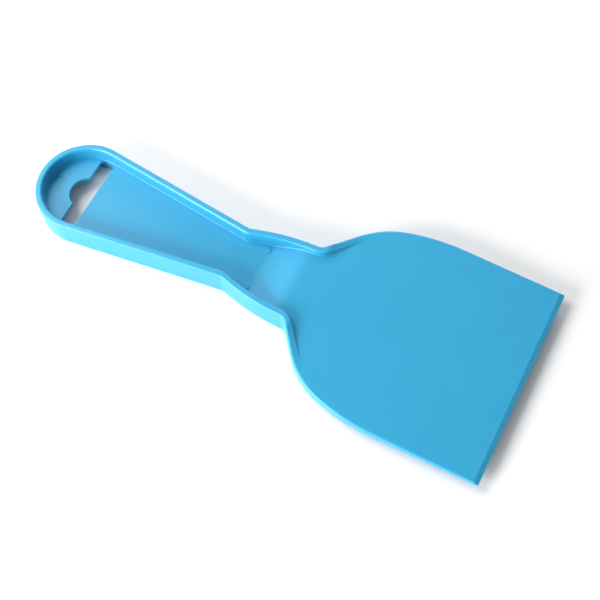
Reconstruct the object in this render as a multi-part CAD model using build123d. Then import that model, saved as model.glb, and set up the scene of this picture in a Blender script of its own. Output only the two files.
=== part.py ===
from build123d import *
import os
from math import asin, atan2, cos, degrees, dist, hypot, radians, sin, tan

# One-piece moulded scraper: a wide flexible blade on a hollow-backed, rimmed handle.
# Millimetres. While it is built, X runs from the end of the handle (0) to the working
# edge, Y across and Z up from the underside of the rim. place() then puts the origin
# at the centre of the box that the part fills, at the height of the underside.

# Overall sizes
length = 191.0            # end of the handle to the working edge
edge_width = 76.2         # working edge, 3 in
depth = 11.1              # rim, underside to top
outer_draft = 1.1         # outer walls lean in towards the top, degrees

# Handle outline, half-widths measured from the middle line
end_radius = 18.4         # round end of the handle
waist_x = 81.4            # where the tapered sides end
waist_half = 11.0
waist_radius = 2.7
pinch_x = 108.3           # where the bulge behind the blade ends
pinch_half = 15.2
pinch_radius = 3.6
bulge_rise = 1.1          # how far the bulge stands proud of a straight line

# Blade outline
shoulder_x = 122.6        # corner of the shoulder, before it is rounded
shoulder_radius = 31.0
hip_x = 143.1             # corner where the sides start, before it is rounded
hip_angle = 14.6          # slope between the two corners
hip_radius = 74.0
side_angle = 0.45         # blade sides close towards the working edge
corner_radius = 0.7

# Rim and web
rim_width = 2.4           # top of the rim
rim_round = 0.7           # inner edge of the rim's top
round_flats = 3           # narrow flats that stand for that rounding
under_rim_width = 2.8     # underside of the rim
web_below_rim = 5.35      # recess above the web
web_thickness = 1.4
wall_draft = 1.5          # inner walls of the rim, degrees
outer_edge_radius = 0.6   # rim and blade side edges
root_radius = 0.4         # where the rim meets the web

# Ramp and blade, seen from the side
ramp_foot_x = 92.6
ramp_head_x = 103.6
ramp_radius = 18.0
blade_under = 3.3         # flat underside of the blade
blade_thickness = 1.7     # at the working edge, before its bevels
head_below_rim = 1.9      # head of the ramp, down from the top of the rim
under_step_x = 96.0       # where the underside of the web drops to the blade's
under_step_length = 4.0
bevel_length = 1.7
bevel_drop = 0.62
under_bevel_length = 1.0
under_bevel_rise = 0.62

# Where the rim runs out along the shoulders
fade_x = 110.9
under_fade_x = 115.0
fade_angle = 24.0
fade_lip_radius = 3.0
fade_radius = 30.0

# Hang slot
slot_near_x = 21.3        # straight side, towards the blade
slot_height = 5.7
slot_width = 30.4
slot_end_radius = 1.5
slot_arch_x = 18.15       # centre of the arch for a single hook
slot_arch_radius = 6.55

# Raised marks that the ejector pins leave on the web, and the sunk one at the end
pin_x = 89.7
pin_half_spacing = 7.9
pin_radius = 1.35
pin_height = 0.3
gate_x = 6.5
gate_radius = 2.55
gate_depth = 0.3

# How far a cutter reaches past the part
spare = 5.0

# Share of an edge that the arcs at its two ends may take together
slack = 0.98

# A floor's normal, and an edge that runs up a wall, have at least this share along Z
level = 0.9

web_top = depth - web_below_rim
web_under = web_top - web_thickness
# The draft brings the outline, drawn at the underside, back to size at the working edge
edge_height = blade_under + blade_thickness / 2
edge_inset = edge_height * tan(radians(outer_draft))
half_edge = edge_width / 2 + edge_inset
far_x = length + edge_inset
top_inset = depth * tan(radians(outer_draft))
blade_rise = depth - head_below_rim - blade_under - blade_thickness
blade_slope = degrees(atan2(blade_rise, length - ramp_head_x))


def deck_z(x):
    """Height of the blade's upper face at x."""
    return blade_under + blade_thickness + (length - x) * tan(radians(blade_slope))


def crossing(x_a, z_a, angle_a, x_b, z_b, angle_b):
    """Point where two lines meet, each given by a point and its angle in degrees."""
    slope_a = tan(radians(angle_a))
    slope_b = tan(radians(angle_b))
    x = (z_b - z_a + slope_a * x_a - slope_b * x_b) / (slope_a - slope_b)
    return x, z_a + slope_a * (x - x_a)


def round_corners(face, corners):
    """Fillet the vertices of a flat face that lie at the given points."""
    for point, radius in corners:
        nearest = face.vertices().sort_by_distance(Vector(*point))[0]
        face = fillet(nearest, radius)
    return face


def radius_in(room, before, corner, after, radius):
    """The radius asked for, or the largest whose arc takes no more than room of each side."""
    turn = Vector(*corner) - Vector(*before)
    turn = turn.get_angle(Vector(*after) - Vector(*corner))
    return min(radius, room / tan(radians(turn / 2)))


def outline():
    """Plan outline at the underside of the rim, with sharp corners at the working edge."""
    waist_from_centre = waist_x - end_radius
    taper = asin(end_radius / hypot(waist_from_centre, waist_half)) - atan2(waist_half, waist_from_centre)
    side_start = (end_radius + end_radius * sin(taper), end_radius * cos(taper))
    end_middle = (end_radius - end_radius * cos(radians(45)), end_radius * sin(radians(45)))
    waist = (waist_x, waist_half)
    pinch = (pinch_x, pinch_half)
    corner = (far_x, half_edge)
    hip = (hip_x, half_edge + (length - hip_x) * tan(radians(side_angle)))
    shoulder = (shoulder_x, hip[1] - (hip_x - shoulder_x) * tan(radians(hip_angle)))
    half_run = hypot(hip[0] - shoulder[0], hip[1] - shoulder[1]) / 2
    half = make_face([
        ThreePointArc((0, 0), end_middle, side_start),
        Line(side_start, waist),
        SagittaArc(waist, pinch, bulge_rise),
        Polyline(pinch, shoulder, hip, corner, (far_x, 0)),
        Line((far_x, 0), (0, 0)),
    ])
    half = round_corners(half, [
        (waist, waist_radius),
        (pinch, pinch_radius),
        (shoulder, radius_in(half_run, pinch, shoulder, hip, shoulder_radius)),
        (hip, radius_in(half_run, shoulder, hip, corner, hip_radius)),
    ])
    whole = (half + mirror(half, about=Plane.XZ)).clean()
    return make_face(whole.edges())


def fade_corners(start, foot, after):
    """The two corners of a fade with their radii. The foot's arc takes what room the lip's leaves."""
    lip_room = fade_lip_radius * tan(radians(fade_angle / 2))
    foot_room = slack * dist(start, foot) - lip_room
    return [(start, fade_lip_radius), (foot, radius_in(foot_room, start, foot, after, fade_radius))]


def side_slab(points, corners):
    """Slab across the whole part from a closed outline in X and Z."""
    face = make_face(Polyline(*points, close=True))
    face = round_corners(face, corners)
    return extrude(Plane.XZ * face, length / 2, both=True)


def leaning(face, start, rise, angle):
    """Prism on a flat face at the height start. Its walls lean in by the angle along its rise."""
    prism = extrude(Pos(0, 0, start) * face, rise, dir=(0, 0, 1))
    walls = [wall for wall in prism.faces() if abs(wall.normal_at().Z) < level]
    return draft(walls, Plane((0, 0, start), z_dir=(0, 0, rise)), angle)


def rim_top_corners():
    """Two corners of the line that the top of the rim follows down to the blade."""
    start = (fade_x, depth)
    foot = crossing(*start, -fade_angle, length, deck_z(length), -blade_slope)
    return start, foot


def rim_under_corners():
    """The same two corners on the underside."""
    start = (under_fade_x, 0)
    foot = crossing(*start, fade_angle, length, blade_under, 0)
    return start, foot


def blank():
    """Outer shape, with the rim still filled in and its outer edges rounded."""
    top_start, top_foot = rim_top_corners()
    under_start, under_foot = rim_under_corners()
    past_x = length + spare
    side = side_slab(
        [
            (-spare, 0),
            under_start,
            under_foot,
            (past_x, blade_under),
            (past_x, deck_z(past_x)),
            top_foot,
            top_start,
            (-spare, depth),
        ],
        fade_corners(under_start, under_foot, (past_x, blade_under))
        + fade_corners(top_start, top_foot, (past_x, deck_z(past_x))),
    )
    foot = round_corners(outline(), [((far_x, y), corner_radius) for y in (-half_edge, half_edge)])
    body = leaning(foot, 0, depth + spare, outer_draft) & side
    return fillet(outer_edges(body), outer_edge_radius)


def is_upright(edge):
    """True where an edge runs up a wall."""
    return edge.bounding_box().size.Z > level * edge.length


def outer_edges(body):
    """Edges where the upright walls meet the top and the underside."""
    walls = [face for face in body.faces() if abs(face.normal_at().Z) < 1 - level]
    return [edge for face in walls for edge in face.edges() if not is_upright(edge)]


def bevel_wedge(start, end, away):
    """Wedge past the slope from start to end. Away is the height that it reaches to."""
    return side_slab([start, end, (length + spare, end[1]), (length + spare, away), (start[0], away)], [])


def edge_bevels():
    """Two wedges that sharpen the working edge."""
    top_start = length - bevel_length
    top = bevel_wedge((top_start, deck_z(top_start)), (length, deck_z(length) - bevel_drop), depth)
    under_start = length - under_bevel_length
    under = bevel_wedge((under_start, blade_under), (length, blade_under + under_bevel_rise), 0)
    return top + under


def recess_above():
    """What is taken out inside the rim above the web and the blade."""
    walls = leaning(offset(outline(), -top_inset - rim_width), depth, -depth, wall_draft)
    top = spare + depth
    floor_line = side_slab(
        [
            (-spare, top),
            (-spare, web_top),
            (ramp_foot_x, web_top),
            (ramp_head_x, deck_z(ramp_head_x)),
            (length + spare, deck_z(length + spare)),
            (length + spare, top),
        ],
        [
            ((ramp_foot_x, web_top), ramp_radius),
            ((ramp_head_x, deck_z(ramp_head_x)), ramp_radius),
        ],
    )
    return round_floor(walls & floor_line, -1)


def rim_flare():
    """What rounding the inner edge of the rim's top takes away, as a few narrow flats."""
    flats = []
    for k in range(round_flats):
        low = radians(90 * k / round_flats)
        high = radians(90 * (k + 1) / round_flats)
        out = rim_round * (1 - cos(high))
        top = depth - rim_round * (1 - sin(high))
        drop = rim_round * (sin(high) - sin(low))
        slope = degrees(atan2(cos(low) - cos(high), sin(high) - sin(low)))
        mouth = offset(outline(), out - top_inset - rim_width)
        flats.append(leaning(mouth, top, -drop, slope))
    return flats


def round_floor(cutter, facing):
    """Round the foot of a recess's walls. Facing is the side that its floor is on."""
    floor = [face for face in cutter.faces() if face.normal_at().Z * facing > level]
    edges = [edge for face in floor for edge in face.edges()]
    rim = [edge for edge in edges if sum(edge in face.edges() for face in floor) == 1]
    return fillet(rim, root_radius)


def recess_below():
    """What is taken out inside the rim below the web and the blade."""
    walls = leaning(offset(outline(), -under_rim_width), 0, depth, wall_draft)
    step_end = under_step_x + under_step_length
    ceiling = side_slab(
        [
            (-spare, -spare),
            (-spare, web_under),
            (under_step_x, web_under),
            (step_end, blade_under),
            (length + spare, blade_under),
            (length + spare, -spare),
        ],
        [],
    )
    return round_floor(walls & ceiling, 1)


def hang_slot():
    """Slot for a peg or a double hook, with an arch for a single hook."""
    far_x = slot_near_x - slot_height
    middle = (far_x + slot_near_x) / 2
    slot = Pos(middle, 0) * RectangleRounded(slot_height, slot_width, slot_end_radius)
    arch = Pos(slot_arch_x, 0) * Circle(slot_arch_radius)
    before = Pos(slot_near_x - slot_width / 2, 0) * Rectangle(slot_width, slot_width)
    face = slot + (arch & before)
    return Pos(0, 0, web_under - spare) * extrude(face, web_thickness + spare)


def pin_marks():
    """Raised discs on the web where the ejector pins stand back."""
    disc = extrude(Circle(pin_radius), web_thickness / 2 + pin_height)
    middle = web_top - web_thickness / 2
    return [Pos(pin_x, side * pin_half_spacing, middle) * disc for side in (-1, 1)]


def gate_mark():
    """Shallow round sinking at the end of the handle."""
    return Pos(gate_x, 0, web_top - gate_depth) * extrude(Circle(gate_radius), gate_depth + root_radius)


def putty_knife():
    """The whole moulding."""
    body = blank() - edge_bevels()
    body = body - recess_above()
    for flat in rim_flare():
        body = body - flat
    body = body - recess_below()
    body = body - hang_slot()
    for mark in pin_marks():
        body = body + mark
    return body - gate_mark()


def place(body):
    """Move the origin to the middle of the length."""
    return Pos(-body.bounding_box().center().X, 0, 0) * body


os.makedirs("parts", exist_ok=True)
export_step(place(putty_knife()), "parts/putty_knife.step")
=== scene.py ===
import bpy
import bmesh
from math import cos, radians, sin
from mathutils import Matrix, Vector


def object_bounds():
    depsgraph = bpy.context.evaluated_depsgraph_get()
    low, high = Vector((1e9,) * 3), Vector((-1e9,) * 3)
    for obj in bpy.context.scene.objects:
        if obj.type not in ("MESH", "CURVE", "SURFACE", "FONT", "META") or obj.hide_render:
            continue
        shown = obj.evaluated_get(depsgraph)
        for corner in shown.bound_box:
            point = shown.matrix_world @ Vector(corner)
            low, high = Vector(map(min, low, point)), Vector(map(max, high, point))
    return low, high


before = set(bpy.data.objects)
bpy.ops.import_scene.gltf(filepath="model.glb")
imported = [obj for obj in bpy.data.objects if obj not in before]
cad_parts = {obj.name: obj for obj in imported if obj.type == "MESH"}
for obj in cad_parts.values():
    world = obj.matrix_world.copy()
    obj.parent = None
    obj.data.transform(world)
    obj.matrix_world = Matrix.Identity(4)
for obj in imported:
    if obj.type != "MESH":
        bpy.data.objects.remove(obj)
cadLow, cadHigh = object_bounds()
print("frame loaded")


# A hex colour as it shows on screen, turned into the linear values that shaders use.
def linearColour(hexText):
    parts = [int(hexText[i:i + 2], 16) / 255 for i in (1, 3, 5)]
    return [p / 12.92 if p <= 0.04045 else ((p + 0.055) / 1.055) ** 2.4 for p in parts] + [1.0]


# Adds one node. Settings name its sockets or its properties, links name the output that feeds a socket.
def addNode(tree, kind, settings=None, links=None):
    node = tree.nodes.new(kind)
    for name, value in (settings or {}).items():
        if hasattr(node, str(name)):
            setattr(node, name, value)
        else:
            node.inputs[name].default_value = value
    for name, source in (links or {}).items():
        tree.links.new(source, node.inputs[name])
    return node


# Coloured polypropylene as injection moulding leaves it. The pigment goes all through a cloudy plastic,
# so light spreads a little way inside and thin rims look richer. Where the melt cooled unevenly the
# blue is faintly mottled. The face copies the mould's fine satin, which spreads highlights softly.
plastic = {
    "colour": "#34A3CC",
    "deepColour": "#2F9CC6",
    "roughness": 0.32,
    "ior": 1.49,
    "scatter": 0.3,
    "scatterDepth": 0.002,      # metres that light spreads inside
    "scatterReach": (0.4, 0.8, 1.0),    # share of that depth for red, green and blue
    "mottleSize": 14.0,         # millimetres across a patch of slightly deeper colour
    "mottleDetail": 3.0,
    "grainSize": 0.9,           # millimetres, coarser than the real 0.1 so that it shows
    "grainDetail": 2.0,
    "grainHeight": 0.004,       # millimetres
}
perMetre = 1000                 # millimetres in a metre


def mouldedPolypropylene():
    material = bpy.data.materials.new("moulded polypropylene")
    material.use_nodes = True
    tree = material.node_tree
    tree.nodes.clear()
    place = addNode(tree, "ShaderNodeTexCoord").outputs["Object"]
    mottle = addNode(
        tree,
        "ShaderNodeTexNoise",
        {"Scale": perMetre / plastic["mottleSize"], "Detail": plastic["mottleDetail"]},
        {"Vector": place},
    )
    # The mix node's colour sockets share their names with its other kinds, so they go by number.
    colour = addNode(tree, "ShaderNodeMix", {"data_type": "RGBA"}, {0: mottle.outputs["Fac"]})
    colour.inputs[6].default_value = linearColour(plastic["colour"])
    colour.inputs[7].default_value = linearColour(plastic["deepColour"])
    grain = addNode(
        tree,
        "ShaderNodeTexNoise",
        {"Scale": perMetre / plastic["grainSize"], "Detail": plastic["grainDetail"]},
        {"Vector": place},
    )
    bump = addNode(
        tree,
        "ShaderNodeBump",
        {"Strength": 1.0, "Distance": plastic["grainHeight"] / perMetre},
        {"Height": grain.outputs["Fac"]},
    )
    shader = addNode(
        tree,
        "ShaderNodeBsdfPrincipled",
        {
            "Roughness": plastic["roughness"],
            "IOR": plastic["ior"],
            "Subsurface Weight": plastic["scatter"],
            "Subsurface Scale": plastic["scatterDepth"],
            "Subsurface Radius": plastic["scatterReach"],
        },
        {"Base Color": colour.outputs[2], "Normal": bump.outputs["Normal"]},
    )
    addNode(tree, "ShaderNodeOutputMaterial", None, {"Surface": shader.outputs["BSDF"]})
    return material


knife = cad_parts["putty_knife"]
knife.data.materials[0] = mouldedPolypropylene()
print("putty knife finished")


# The floor that the knife lies on: matt white paper, which scatters all light and shows no highlight.
# Size in metres.
floorLook = {"size": 6.0, "colour": "#F4F4F4", "roughness": 0.8}


def paleFloor():
    shape = bmesh.new()
    bmesh.ops.create_grid(shape, x_segments=1, y_segments=1, size=floorLook["size"] / 2)
    bmesh.ops.translate(shape, verts=shape.verts, vec=(0, 0, cadLow.z))
    mesh = bpy.data.meshes.new("floor")
    shape.to_mesh(mesh)
    shape.free()
    floor = bpy.data.objects.new("floor", mesh)
    bpy.context.scene.collection.objects.link(floor)
    material = bpy.data.materials.new("matt white paper")
    material.use_nodes = True
    shader = material.node_tree.nodes["Principled BSDF"]
    shader.inputs["Base Color"].default_value = linearColour(floorLook["colour"])
    shader.inputs["Roughness"].default_value = floorLook["roughness"]
    mesh.materials.append(material)


paleFloor()

# A dim even room with three soft boxes, most of the light coming over the near side and the handle's end.
# Azimuth and height say in degrees where a box stands, seen from the knife. Distance and size are in
# metres, power in watts.
studio = {
    "roomStrength": 0.345,
    "boxes": [
        {"name": "near box", "azimuth": -118, "height": 20, "distance": 0.7, "size": 0.4, "power": 7.8},
        {"name": "end box", "azimuth": 180, "height": 50, "distance": 0.6, "size": 0.35, "power": 2.3},
        {"name": "far box", "azimuth": 105, "height": 25, "distance": 1.2, "size": 0.6, "power": 5.5},
    ],
}


def softBox(box):
    light = bpy.data.lights.new(box["name"], "AREA")
    light.size = box["size"]
    light.energy = box["power"]
    lamp = bpy.data.objects.new(box["name"], light)
    turn, rise = radians(box["azimuth"]), radians(box["height"])
    away = Vector((cos(turn) * cos(rise), sin(turn) * cos(rise), sin(rise)))
    facing = away.to_track_quat("Z", "Y").to_matrix().to_4x4()
    lamp.matrix_world = Matrix.Translation(away * box["distance"]) @ facing
    bpy.context.scene.collection.objects.link(lamp)


def lightRoom():
    world = bpy.data.worlds.new("white room")
    world.use_nodes = True
    sky = world.node_tree.nodes["Background"]
    sky.inputs["Color"].default_value = (1, 1, 1, 1)
    sky.inputs["Strength"].default_value = studio["roomStrength"]
    bpy.context.scene.world = world
    for box in studio["boxes"]:
        softBox(box)
    bpy.context.scene.view_settings.view_transform = "Standard"


lightRoom()
print("floor and lights ready")

# The camera stands above the near side of the neck, a forearm's length away. Lengths in metres, angles
# in degrees, the lens in millimetres.
cameraPlace = {
    "lookAt": (0.01314, 0.0, 0.0),
    "turn": 31.858,         # degrees round from the -Y side
    "rise": 63.505,         # degrees above the floor
    "roll": -5.163,
    "distance": 0.396,
    "aside": -0.00171,      # small shift across the view
    "up": -0.00135,         # and up it
    "lens": 66.81,
    "nearest": 0.01,        # nothing closer than this is drawn
}


def placeCamera():
    turn, rise, roll = (radians(cameraPlace[k]) for k in ("turn", "rise", "roll"))
    back = Vector((sin(turn) * cos(rise), -cos(turn) * cos(rise), sin(rise)))
    level = Vector((cos(turn), sin(turn), 0))
    upright = back.cross(level)
    right = cos(roll) * level + sin(roll) * upright
    up = cos(roll) * upright - sin(roll) * level
    spot = Vector(cameraPlace["lookAt"]) + back * cameraPlace["distance"]
    spot += right * cameraPlace["aside"] + up * cameraPlace["up"]
    data = bpy.data.cameras.new("camera")
    data.lens = cameraPlace["lens"]
    data.clip_start = cameraPlace["nearest"]
    camera = bpy.data.objects.new("camera", data)
    camera.matrix_world = Matrix.Translation(spot) @ Matrix((right, up, back)).transposed().to_4x4()
    bpy.context.scene.collection.objects.link(camera)
    bpy.context.scene.camera = camera


placeCamera()
print("camera placed")
